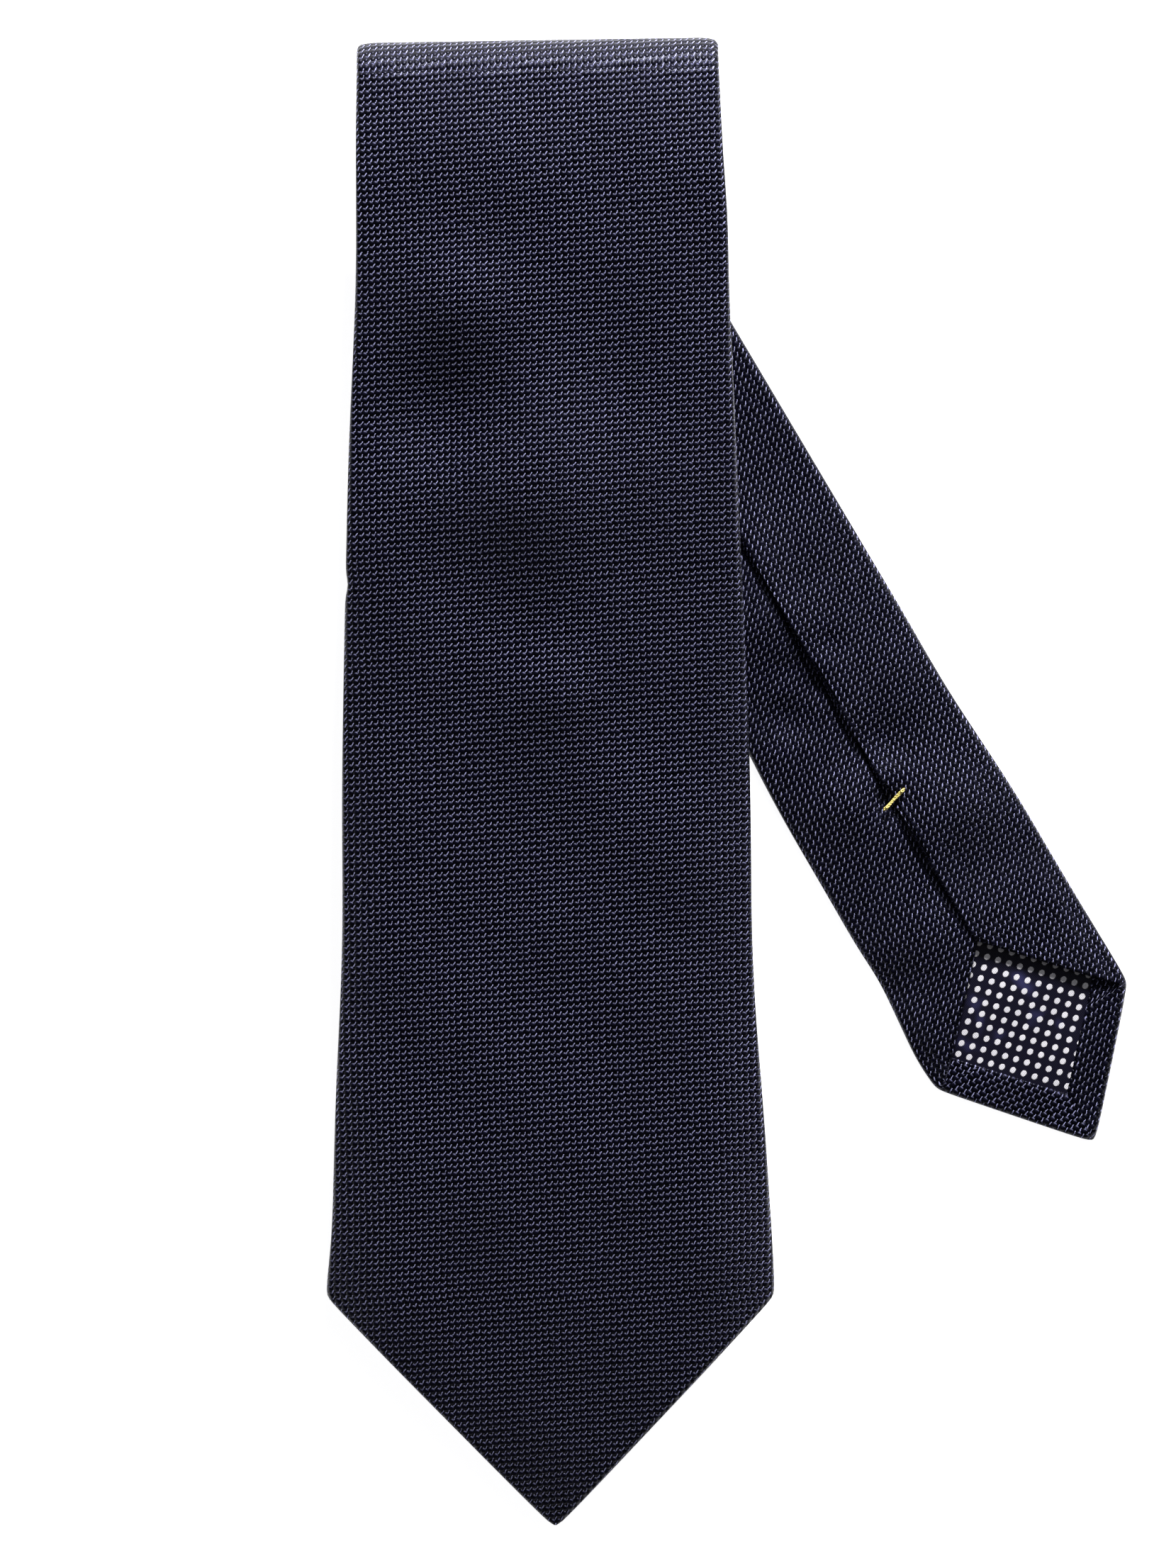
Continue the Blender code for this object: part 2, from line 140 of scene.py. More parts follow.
BODIES = ("blade", "fold_2", "fold_3", "fold_4", "fold_5", "tail")


# ---------------------------------------------------------------- placing the folds


def panel_length(index):
    return float(np.linalg.norm(POINTS[index + 1] - POINTS[index]))


def panel_start(index):
    return sum(panel_length(before) for before in range(index))


TIE_LENGTH = panel_start(TAIL) + panel_length(TAIL)


def panel_axes(index):
    """Across, along and towards the back, as columns."""
    along = np.append(POINTS[index + 1] - POINTS[index], 0) / panel_length(index)
    back = np.array((0, 0, -1.0 if index % 2 == 0 else 1.0))
    return np.column_stack((np.cross(along, back), along, back))


def tilted(points):
    """The stack of folds turned about its lowest edge."""
    cos, sin = math.cos(STACK_TILT), math.sin(STACK_TILT)
    y, z = points[..., 1] - CREASES[1][1], points[..., 2]
    return np.stack((points[..., 0], CREASES[1][1] + y * cos - z * sin, y * sin + z * cos), axis=-1)


def placed(index, local):
    """Points of one fold, flat, in the row frame."""
    spot = np.append(POINTS[index], 0.0)
    if index < TAIL:
        spot[2] = LEVELS[index] + (PANEL if index % 2 == 0 else 0)
    world = local @ panel_axes(index).T + spot
    return world if index == TAIL else tilted(world)


def crease_line(index):
    """The direction along a crease, square to the line midway between its two folds."""
    middle = panel_axes(index + 1)[:, 1] - panel_axes(index)[:, 1]
    middle /= np.linalg.norm(middle)
    line = np.array((-middle[1], middle[0], 0))
    return line if line[0] > 0 else -line


def crease_outward(index):
    line = crease_line(index)
    return np.array((-line[1], line[0], 0)) * (1 if index % 2 == 0 else -1)


def fold_setback(index):
    """From the outer edge of a fold to where its flat cloth ends."""
    if index == 0:
        return TOP_ROLL
    if index == TAIL - 1:
        return (CREASES[index][1] - CREASES[1][1]) * math.sin(STACK_TILT) / 2 + PANEL / 2
    return PITCH / 2 + PANEL / 2


def flat_end(index, crease):
    """(y, slope): where the flat part of a fold ends at a crease, and how y changes across the tie."""
    across, along = panel_axes(index)[:, 0], panel_axes(index)[:, 1]
    line = crease_line(crease)
    slope = float(line @ along / (line @ across))
    inward = fold_setback(crease) * math.hypot(1, slope)
    return (inward, slope) if crease == index - 1 else (panel_length(index) - inward, slope)


def flat_range(index):
    low = flat_end(index, index - 1) if index > 0 else (0.0, 0.0)
    high = flat_end(index, index) if index < TAIL else (panel_length(index), 0.0)
    return low, high


# ---------------------------------------------------------------- the soft shape


def bump(offset, width):
    return np.exp(-((offset / width) ** 2))


def smooth(low, high, value):
    share = np.clip((value - low) / (high - low), 0, 1)
    return share * share * (3 - 2 * share)


# (x, y, radius, height) of the swells and dents in the blade's face, in the row frame
BLADE_SWELLS = (
    (-0.0350, 0.0540, 0.0145, 0.0036),
    (-0.0313, 0.0165, 0.0075, 0.0015),
    (-0.0530, 0.0640, 0.0110, -0.0027),
    (-0.0466, 0.0870, 0.0085, 0.0015),
    (-0.0390, -0.0670, 0.0110, 0.0005),
    (-0.0180, 0.0980, 0.0120, 0.0004),
    (-0.0100, -0.0100, 0.0160, 0.0005),
    (-0.0560, -0.0350, 0.0140, 0.0005),
)
TOP_EDGE = CREASES[0][1]
TIP_DROP = 0.0115
TIP_HANG = 0.20
BLADE_SAG = 0.0013
TOP_RISE = 0.0052
TOP_CURL = 0.028  # the last stretch before the top edge, over which the blade rolls away
SIDE_DROOP = 13.0
BLADE_CROWN = 0.0007
BLADE_RIPPLE = 0.00022


def blade_drape(points):
    """Height added to the blade: its point hangs, its top rolls away and its sides droop past the stack."""
    x, y = points[..., 0], points[..., 1]
    from_tip = y - WIDE_TIP[1]
    rise = -TIP_DROP * np.clip(1 - from_tip / TIP_HANG, 0, 1.05) ** 4.7
    rise -= BLADE_SAG * bump(from_tip - 0.125, 0.055)
    toward_top = np.clip((y - (TOP_EDGE - TOP_CURL)) / TOP_CURL, 0, 1)
    rise += TOP_RISE * (1 - toward_top ** 2) * smooth(TOP_EDGE - 0.20, TOP_EDGE - 0.020, y)
    middle = WIDE_TIP[0] + (CREASES[0][0] - WIDE_TIP[0]) * from_tip / panel_length(0)
    beside = np.abs(x - middle)
    stack = 0.0245 + 0.0085 * np.clip(from_tip / 0.26, 0, 1)
    rise -= SIDE_DROOP * np.clip(beside - stack, 0, None) ** 2 * (1 - smooth(0.20, 0.25, from_tip) * 0.6)
    rise -= BLADE_CROWN * np.clip(beside / 0.034, 0, 1.2) ** 4
    for swell_x, swell_y, radius, height in BLADE_SWELLS:
        rise += height * bump(np.hypot(x - swell_x, y - swell_y), radius)
    rise += BLADE_RIPPLE * np.sin(x * 210 + y * 64 + 1.0) * np.sin(y * 135 - x * 40)
    return rise


STACK_WAVE = 0.00035


def stack_drape(points):
    """A slight waviness that all the hidden folds share."""
    x, y = points[..., 0], points[..., 1]
    inside = smooth(-0.105, -0.085, y) * (1 - smooth(0.110, 0.130, y))
    return STACK_WAVE * (np.sin(x * 95 + y * 37) + np.sin(y * 61 - x * 30) - 0.3) * inside


# (x across, distance from the narrow tip, radius, height) on the back of the tail
TAIL_SWELLS = (
    (0.0005, 0.0712, 0.0032, -0.0013),
    (-0.0040, 0.0805, 0.0050, -0.0013),
    (0.0080, 0.0740, 0.0066, 0.0012),
    (-0.0085, 0.0650, 0.0070, 0.0013),
    (0.0090, 0.0930, 0.0044, -0.0013),
    (0.0062, 0.1120, 0.0075, 0.0010),
    (0.0075, 0.0480, 0.0090, 0.0008),
    (0.0015, 0.0960, 0.0030, -0.0007),
    (0.0050, 0.1010, 0.0028, -0.0005),
    (-0.0035, 0.1020, 0.0028, -0.0005),
    (0.0160, 0.0420, 0.0048, -0.0007),
    (0.0150, 0.0300, 0.0050, 0.0003),
    (-0.0120, 0.0950, 0.0080, 0.0004),
    (0.0100, 0.0880, 0.0070, 0.0003),
)
TAIL_CROWN = 0.00085
TAIL_CROWN_HALF = 0.0185
TAIL_RIPPLE = 0.00012
TAIL_SWAY = 0.0011  # how far the tip of the tail lies beside the CAD model's line
TAIL_SWAY_REACH = 0.115


def tail_drape(local):
    """Height added to the back of the tail, in its own frame: it grows from nothing at its right side."""
    x, z = local[..., 0], local[..., 2]
    from_tip = panel_length(TAIL) - local[..., 1]
    shown = 1 - smooth(0.118, 0.135, from_tip)
    beside = np.clip(1 - (x / TAIL_CROWN_HALF) ** 2, 0, 1)
    rise = TAIL_CROWN * beside ** 0.8 * smooth(0.004, 0.03, from_tip)
    for swell_x, distance, radius, height in TAIL_SWELLS:
        rise = rise + height * bump(np.hypot(x - swell_x, from_tip - distance), radius)
    rise = rise + TAIL_RIPPLE * np.sin(from_tip * 320 + x * 160) * np.sin(x * 230 - from_tip * 90)
    return rise * shown * smooth(0.0002, 0.0014, z)


def draped(index, local):
    """Points of one fold in the row frame, with its soft shape."""
    world = placed(index, local)
    if index == 0:
        world[..., 2] += blade_drape(world)
    elif index == TAIL:
        world[..., 2] += tail_drape(local)
        from_tip = panel_length(TAIL) - local[..., 1]
        across = panel_axes(TAIL)[:, 0]
        world -= (TAIL_SWAY * (1 - smooth(0.0, TAIL_SWAY_REACH, from_tip)))[..., None] * across
    else:
        world[..., 2] += stack_drape(world)
    return world


# (side, distance from the wide tip, reach, outward) of the waves in the blade's edges; +1 is local +x
BLADE_EDGE_WAVES = (
    (1, 0.224, 0.022, -0.0007),
    (1, 0.170, 0.0018, -0.0004),
    (1, 0.105, 0.022, -0.0007),
    (-1, 0.100, 0.026, -0.0011),
    (-1, 0.045, 0.012, 0.0002),
    (-1, 0.235, 0.010, 0.0003),
    (1, 0.040, 0.010, 0.0010),
)
TAIL_EDGE_WAVES = (
    (1, 0.028, 0.007, 0.0006),
    (1, 0.044, 0.006, -0.0004),
    (-1, 0.060, 0.012, 0.0003),
    (-1, 0.085, 0.012, -0.0003),
    (1, 0.080, 0.014, 0.0003),
    (1, 0.125, 0.034, -0.0011),
)
SHOULDER_REACH = 0.02
LEAST_HALF = 0.0003


def tip_half(distance, width, point):
    """Half the width near a rounded tip."""
    distance = max(distance, 0.0)
    whole = point * (point + 2 * TIP_ROUNDING)
    return width / 2 * math.sqrt(distance * (distance + 2 * TIP_ROUNDING) / whole)


def soft_least(first, second, ease):
    """The smaller of two lengths, rounded off where they are nearly the same."""
    middle, half = (first + second) / 2, (first - second) / 2
    return middle - math.hypot(half, ease)


def half_width(distance, side=0):
    """Half the finished width at a distance from the wide tip. Side 0 has no waves in its edge."""
    top, from_narrow = panel_length(0), TIE_LENGTH - distance
    stations = (BLADE_POINT, top, NECK_START, NECK_END, TIE_LENGTH - TAIL_POINT)
    widths = (BLADE_WIDTH, TOP_WIDTH, NECK_WIDTH, NECK_WIDTH, TAIL_WIDTH)
    half = float(np.interp(distance, stations, widths)) / 2
    for wave_side, place, reach, out in BLADE_EDGE_WAVES:
        half += out * math.exp(-(((distance - place) / reach) ** 2)) * (wave_side == side)
    for wave_side, place, reach, out in TAIL_EDGE_WAVES:
        half += out * math.exp(-(((from_narrow - place) / reach) ** 2)) * (wave_side == side)
    if distance < BLADE_POINT + SHOULDER_REACH:
        half = soft_least(half, tip_half(distance, BLADE_WIDTH, BLADE_POINT), SHOULDER_ROUNDING)
    if from_narrow < TAIL_POINT + SHOULDER_REACH:
        half = soft_least(half, tip_half(from_narrow, TAIL_WIDTH, TAIL_POINT), SHOULDER_ROUNDING)
    return max(half, LEAST_HALF)


# ---------------------------------------------------------------- sections across the tie


def run(start, end, step):
    """Evenly spaced points from start to end, both kept."""
    return np.linspace(start, end, max(2, int(round(abs(end - start) / step)) + 1))


def arc(centre_x, centre_z, radius, start, end, steps=6):
    turns = np.radians(np.linspace(start, end, steps + 1))
    return [(centre_x + radius * math.cos(turn), centre_z + radius * math.sin(turn)) for turn in turns]


def widest(index):
    return BLADE_WIDTH if index == 0 else TAIL_WIDTH if index == TAIL else TOP_WIDTH


def edge_turn(half, side):
    """(x of the centre, radius) of the round turn at one edge. The flap from side -1 lies over the other."""
    level = OVER_Z if side < 0 else UNDER_Z
    radius = min((level - FACE_Z) / 2, half * 0.45)
    return half - CLOTH / 2 - radius, radius


def flap_lines(index, y):
    """(x of a flap's edge, x of the hem's inner edge, share of the lap), as distances from the middle."""
    if index not in POINT_TRIM:
        return 0.0, 0.0, 1.0
    width, point, hem, lining_top = POINT_TRIM[index]
    from_tip = y if index == 0 else panel_length(index) - y
    slope = width / 2 / point
    low = hem * math.sqrt(2) / slope
    flap = max((lining_top - from_tip) * slope, 0.0)
    inner = max(min((from_tip - low) * slope, flap), 0.0)
    return flap, inner, float(np.clip((from_tip - lining_top) / LAP_START, 0, 1))


def flap_side(index, y, half, side, step):
    """One flap from the turned edge of the tie to its inner edge, turned under, as (x, z) points for +x."""
    flap, inner, lap = flap_lines(index, y)
    centre, radius = edge_turn(half, side)
    top = FACE_Z + 2 * radius
    edge_x = 0.0 if side < 0 else -LAP * lap
    seam_rise = OVER_SEAM_RISE if side < 0 else UNDER_SEAM_RISE
    flap = min(max(flap, edge_x), centre)
    inner = min(inner, flap) if flap > 0 else flap
    shown = index in POINT_TRIM
    points = arc(centre, FACE_Z + radius, radius, 0, 90)
    for x in np.linspace(centre, flap, int(widest(index) / 2 / step) + 4)[1:]:
        rise = 0.0
        if shown:
            rise = seam_rise * bump(x - edge_x, SEAM_REACH) * lap
            rise += TUCK * (1 - lap) * smooth(0, 0.003, centre - x)
        points.append((x, top + rise))
    if not shown:
        return points
    high = points[-1][1]
    hem = min(HEM_Z, top)
    drop = min(HEM_DROP, flap - inner) if lap <= 0 else 0.0
    for x, share in zip(np.linspace(flap - drop, inner, 6), (0.9, 1, 1, 1, 1, 1)):
        low = hem if lap <= 0 and flap - inner > LEAST_HEM else high
        points.append((x, high + (low - high) * share))
    last_x, last_z = points[-1]
    turn = min(TURN_RADIUS, max(last_z - HEM_Z + 0.00022, LEAST_TURN))
    points += arc(last_x, last_z - turn, turn, 90, 270, 5)[1:]
    points.append((min(last_x + TURN_DEPTH, centre), last_z - 2 * turn))
    return points


def section(index, y, slope, part, step):
    """Strips of (points, u, v) across the tie at y, for the whole wrap, its face or its back."""
    distance = panel_start(index) + y
    flaps, turns = {}, {}
    for side in (-1, 1):
        half = half_width(distance, side)
        flaps[side] = flap_side(index, y, half, side, step)
        centre, radius = edge_turn(half, side)
        turns[side] = [(side * x, z) for x, z in arc(centre, FACE_Z + radius, radius, 0, -90)]
    first, last = turns[1], turns[-1][::-1]
    middle = np.linspace(first[-1][0], last[0][0], int(widest(index) / step) + 1)[1:-1]
    wrap = first + [(x, FACE_Z) for x in middle] + last
    under = flaps[1][::-1]
    over = [(-x, z) for x, z in flaps[-1]]
    path = np.array(under[:-1] + wrap + over[1:])
    steps = np.hypot(*np.diff(path, axis=0).T)
    round_it = np.concatenate(((0,), np.cumsum(steps)))
    start = len(under) - 1
    end = start + len(wrap) - 1
    cloth_u = round_it - (round_it[start] + steps[start:end].sum() / 2)
    cloth_v = np.full(len(path), distance)
    for side, edge, rows in ((1, start, slice(0, start)), (-1, end, slice(end + 1, None))):
        hem_cloth(index, y, side, path[:, 0] * side, edge, rows, cloth_u, cloth_v)
    cuts = {
        "all": [slice(0, None)],
        "face": [slice(start, end + 1)],
        "back": [slice(0, start + 1), slice(end, None)],
    }
    strips = []
    for cut in cuts[part]:
        x, z = path[cut].T
        strips.append((np.column_stack((x, y + slope * x, z)), cloth_u[cut], cloth_v[cut] + slope * x))
    return strips


def hem_cloth(index, y, side, x, edge, rows, cloth_u, cloth_v):
    """Turns the cloth coordinates of a point's hem over the slanting edge that it is folded along."""
    flap, inner, lap = flap_lines(index, y)
    if index not in POINT_TRIM or lap > 0 or flap - inner < LEAST_HEM:
        return
    width, point = POINT_TRIM[index][:2]
    slant, toward_tip = width / 2 / point, -1 if index == 0 else 1
    from_tip = y if index == 0 else panel_length(index) - y
    in_point = from_tip < point
    fold = x[edge] if in_point else slant * from_tip
    hem = np.zeros(len(x), bool)
    hem[rows] = True
    hem &= (x < flap - 0.00001) | in_point
    folded = 2 * (fold - x[hem]) / (1 + slant * slant)
    cloth_u[hem] = side * (abs(cloth_u[edge]) - x[edge] + x[hem] + folded)
    cloth_v[hem] += toward_tip * slant * folded


# ---------------------------------------------------------------- meshes


def new_object(name, vertices, faces, material, uv):
    """A mesh object, smooth, with its cloth coordinates in metres as the UV map named cloth."""
    mesh = bpy.data.meshes.new(name)
    mesh.from_pydata([tuple(point) for point in vertices], [], faces)
    layer = mesh.uv_layers.new(name="cloth")
    loops = np.zeros(len(mesh.loops), np.int32)
    mesh.loops.foreach_get("vertex_index", loops)
    layer.data.foreach_set("uv", np.asarray(uv, np.float32)[loops].ravel())
    mesh.shade_smooth()
    mesh.materials.append(material)
    item = bpy.data.objects.new(name, mesh)
    bpy.context.scene.collection.objects.link(item)
    return item


def grid_faces(rows, columns, first=0):
    corner = first + np.arange((rows - 1) * columns).reshape(rows - 1, columns)[:, :-1].ravel()
    return np.column_stack((corner, corner + 1, corner + columns + 1, corner + columns)).tolist()


def grid_object(name, grids, material, thickness):
    """One object from (points, u, v) grids, thickened about its middle."""
    vertices, uv, faces = [], [], []
    for points, u, v in grids:
        faces += grid_faces(points.shape[0], points.shape[1], sum(len(block) for block in vertices))
        vertices.append(points.reshape(-1, 3))
        uv.append(np.column_stack((u.ravel(), v.ravel())))
    item = new_object(name, np.concatenate(vertices), faces, material, np.concatenate(uv))
    solid = item.modifiers.new("cloth", "SOLIDIFY")
    solid.thickness = thickness
    solid.offset = 0.0
    return item


def stacked(sections):
    """Grids from a list of sections, one for each strip."""
    return [tuple(np.array(values) for values in zip(*strip)) for strip in zip(*sections)]


def stations(index, step):
    """(y, slope) along one fold, closer together at a point of the tie."""
    (low, low_slope), (high, high_slope) = flat_range(index)
    if index == 0:
        close = run(TIP_GAP, BLADE_POINT + 0.004, step * 0.7)
        spots = np.concatenate((close[:-1], run(close[-1], high, step)))
    elif index == TAIL:
        close = run(high - TAIL_POINT - 0.024, high - TIP_GAP, step * 0.55)
        spots = np.concatenate((run(low, close[0], step)[:-1], close))
    else:
        spots = run(low, high, step)
    slopes = low_slope * np.clip(1 - (spots - low) / SLOPE_EASE, 0, 1)
    slopes += high_slope * np.clip(1 - (high - spots) / SLOPE_EASE, 0, 1)
    return list(zip(spots, slopes))


def shell(index, name, material, step, spots=None):
    """The whole wrap of one fold, or of the stretch that the spots cover."""
    sections = [section(index, y, slope, "all", step) for y, slope in (spots or stations(index, step))]
    grids = [(draped(index, points), u, v) for points, u, v in stacked(sections)]
    return grid_object(name, grids, material, CLOTH)


def flat_sheet(index, name, spots, z, material, thickness, step):
    """A sheet inside or on a fold, from (y, slope, half width) stations."""
    columns = max(3, int(2 * max(half for _, _, half in spots) / step))
    share = np.linspace(1, -1, columns)
    x = np.array([share * half for _, _, half in spots])
    y = np.array([[y] for y, _, _ in spots]) + x * np.array([[slope] for _, slope, _ in spots])
    points = draped(index, np.stack((x, y, np.full(x.shape, z)), axis=-1))
    return grid_object(name, [(points, -x, panel_start(index) + y)], material, thickness)


def interlining(index, name, material):
    spots = []
    for y, slope in stations(index, COARSE):
        half = half_width(panel_start(index) + y) - FELT_INSET
        if half > LEAST_FELT:
            spots.append((y, slope, half))
    return flat_sheet(index, name, spots, FELT_Z, material, FELT_CLOTH, COARSE)


def tipping(index, name, material):
    """The satin lining of a point: it reaches under the hem and the flaps."""
    width, point, hem, lining_top = POINT_TRIM[index]
    slope = width / 2 / point
    inset = hem * 0.4
    spots = []
    for from_tip in run(2 * inset, lining_top + hem, FINE):
        half = min((from_tip - 2 * inset) * slope, width / 2 - inset, (lining_top + hem - from_tip) * slope)
        y = from_tip if index == 0 else panel_length(index) - from_tip
        spots.append((y, 0.0, half + LINING_TUCK))
    return flat_sheet(index, name, sorted(spots), LINING_Z, material, SATIN, FINE)


def tube(name, paths, radius, material, sides=8):
    """Round threads along paths of points in the row frame, with closed ends."""
    vertices, faces, uv = [], [], []
    for path in paths:
        path = np.asarray(path)
        run_along = np.gradient(path, axis=0)
        run_along /= np.linalg.norm(run_along, axis=1)[:, None]
        beside = np.cross(run_along, (0.0, 0.0, 1.0))
        beside /= np.linalg.norm(beside, axis=1)[:, None]
        above = np.cross(beside, run_along)
        length = np.concatenate(((0,), np.cumsum(np.linalg.norm(np.diff(path, axis=0), axis=1))))
        ease = np.sqrt(np.clip(np.minimum(length, length[-1] - length) / (2 * radius), 0.05, 1))
        first = len(vertices)
        turns = np.linspace(0, 2 * math.pi, sides, endpoint=False)
        for place, side_way, up, size, along in zip(path, beside, above, ease * radius, length):
            for turn in turns:
                vertices.append(place + side_way * math.cos(turn) * size + up * math.sin(turn) * size)
                uv.append((turn / (2 * math.pi), along))
        for ring in range(len(path) - 1):
            for side in range(sides):
                low, next_side = first + ring * sides, (side + 1) % sides
                faces.append((low + side, low + next_side, low + sides + next_side, low + sides + side))
        faces.append(tuple(range(first, first + sides))[::-1])
        faces.append(tuple(range(first + (len(path) - 1) * sides, first + len(path) * sides)))
    return new_object(name, np.array(vertices), faces, material, np.array(uv))


# ---------------------------------------------------------------- the creases


def loop_points(crease, section_rows, turns):
    """The cloth between two folds: half circles that join the flat ends, at each height of the section."""
    upper_y, upper_slope = flat_end(crease, crease)
    lower_y, lower_slope = flat_end(crease + 1, crease)
    local = section_rows.copy()
    local[:, 1] = upper_y + upper_slope * local[:, 0]
    first = placed(crease, local)
    local[:, 1] = lower_y + lower_slope * local[:, 0]
    last = placed(crease + 1, local)
    middle, half = (first + last) / 2, (first - last) / 2
    reach = np.linalg.norm(half, axis=1)[:, None] * crease_outward(crease)
    rows = []
    for turn in turns:
        points = middle + half * math.cos(turn) + reach * math.sin(turn) * corner_ease(crease, local[:, 0])
        share = (1 + math.cos(turn)) / 2
        upper = blade_drape(points) if crease == 0 else stack_drape(points)
        lower = 0.0 if crease == TAIL - 1 else stack_drape(points)
        points[:, 2] += upper * share + lower * (1 - share)
        rows.append(points)
    return np.array(rows)


def corner_ease(crease, x):
    """The corners of the top fold are rounded off."""
    if crease > 0:
        return 1.0
    past = (np.abs(x) - (half_width(panel_length(0)) - CORNER_REACH)) / CORNER_REACH
    return (1 - CORNER_EASE * np.clip(past, 0, 1) ** 2)[:, None]


def loop_sheet(name, crease, part, turns, material, step):
    """A strip of the shell round a crease, for its face, its back or all of it."""
    y, slope = flat_end(crease, crease)
    setback = fold_setback(crease)
    rolled = (turns - turns[0]) * (setback - PANEL / 2) + turns[0] * setback * 0.8
    grids = []
    for points, u, v in section(crease, y, 0.0, part, step):
        rows = loop_points(crease, points, turns)
        v_rows = v[None, :] + slope * points[None, :, 0] + rolled[:, None]
        grids.append((rows, np.repeat(u[None, :], len(turns), axis=0), v_rows))
    return grid_object(name, grids, material, CLOTH)


def felt_loop(name, crease, turns, material):
    """A strip of the interlining round a crease."""
    half = half_width(panel_start(crease + 1)) - FELT_INSET
    x = np.linspace(half, -half, max(4, int(2 * half / COARSE)))
    section_rows = np.column_stack((x, x * 0, x * 0 + FELT_Z))
    rows = loop_points(crease, section_rows, turns)
    v = np.repeat((turns * fold_setback(crease))[:, None], len(x), axis=1)
    return grid_object(name, [(rows, np.repeat(x[None, :], len(turns), axis=0), v)], material, FELT_CLOTH)


def blend_rows(item, crease, turns, z):
    """Bakes a loop's placement into its mesh. It works out where its layer starts to turn and where it ends,
    but does not bend the loop.
    """
    row = np.array([[0.0, 0.0, z]])
    start, end = loop_points(crease, row, np.array((turns[0], turns[-1])))[:, 0]
    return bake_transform(item)


# ---------------------------------------------------------------- thread


def on_back(index, x, y, lift):
    """A point lying on the back of a fold."""
    return draped(index, np.column_stack((x, y, np.full(np.shape(x), lift))))


def bar_tack(index, name, y, material):
    """Three plump strands side by side across the seam, over a short bar of crossing thread."""
    slant = np.array((math.cos(TACK_SLANT), math.sin(TACK_SLANT)))
    square = np.array((-slant[1], slant[0]))
    along = np.linspace(-0.5, 0.5, 25)
    paths = []
    for strand, (offset, length) in enumerate(TACK_STRANDS):
        sway = 0.00004 * np.sin(along * 9 + strand * 2.1)
        x = along * length * slant[0] + (offset + sway) * square[0]
        place = y + along * length * slant[1] + (offset + sway) * square[1]
        lift = OVER_Z + 0.0009 + 0.00034 * np.cos(along * math.pi) - 0.0004 * np.abs(along * 2) ** 8
        paths.append(on_back(index, x, place, lift))
    across = np.linspace(-TACK_HALF_WIDTH, TACK_HALF_WIDTH, 9)
    for bite in TACK_BITES:
        x = bite * TACK_LENGTH * slant[0] + across * square[0]
        place = y + bite * TACK_LENGTH * slant[1] + across * square[1]
        lift = OVER_Z + 0.00112 + 0.00018 * np.cos(across / TACK_HALF_WIDTH * 1.4)
        paths.append(on_back(index, x, place, lift))
    return tube(name, paths, TACK_THREAD, material)


def slip_stitch(index, name, low, high, material):
    """One long thread that dips in and out beside the edge of the over flap."""
    y = run(low, high, 0.0008)
    x = 0.00035 + 0.0001 * np.sin(y * 900)
    lift = UNDER_Z + 0.0003 + 0.00013 * np.sin(y * 700)
    return tube(name, [on_back(index, x, y, lift)], THREAD, material, 6)


def stitch_row(index, name, x, low, high, lift, material):
    """Short stitches in a row along the tie."""
    share = np.linspace(0, 1, 7)
    height = lift + 0.00012 * np.sin(share * math.pi)
    paths = []
    for start in np.arange(low, high - 0.0012, STITCH_PITCH):
        paths.append(on_back(index, np.full(7, x), start + share * STITCH, height))
    return tube(name, paths, THREAD, material, 6)


def bias_seam(index, name, seam, material):
    """The thread of the slanting seam that joins two cut pieces of the shell."""
    reach = half_width(panel_start(index) + seam) - 0.004
    x = run(-reach, reach, FINE)
    y = seam + x
    points = draped(index, np.column_stack((x, y, np.full(len(x), -0.00008))))
    return tube(name, [points], 0.0002, material, 6)


# ---------------------------------------------------------------- materials


class Wire:
    """A socket of a shader graph that ordinary arithmetic works on."""

    def __init__(self, graph, socket):
        self.graph = graph
        self.socket = socket

    def __add__(self, other):
        return self.graph.math("ADD", self, other)

    def __sub__(self, other):
        return self.graph.math("SUBTRACT", self, other)

    def __rsub__(self, other):
        return self.graph.math("SUBTRACT", other, self)

    def __mul__(self, other):
        return self.graph.math("MULTIPLY", self, other)

    __radd__ = __add__
    __rmul__ = __mul__

    def floor(self):
        return self.graph.math("FLOOR", self)

    def sine(self):
        return self.graph.math("SINE", self)

    def absolute(self):
        return self.graph.math("ABSOLUTE", self)

    def root(self):
        return self.graph.math("SQRT", self.graph.math("MAXIMUM", self, 0.0))


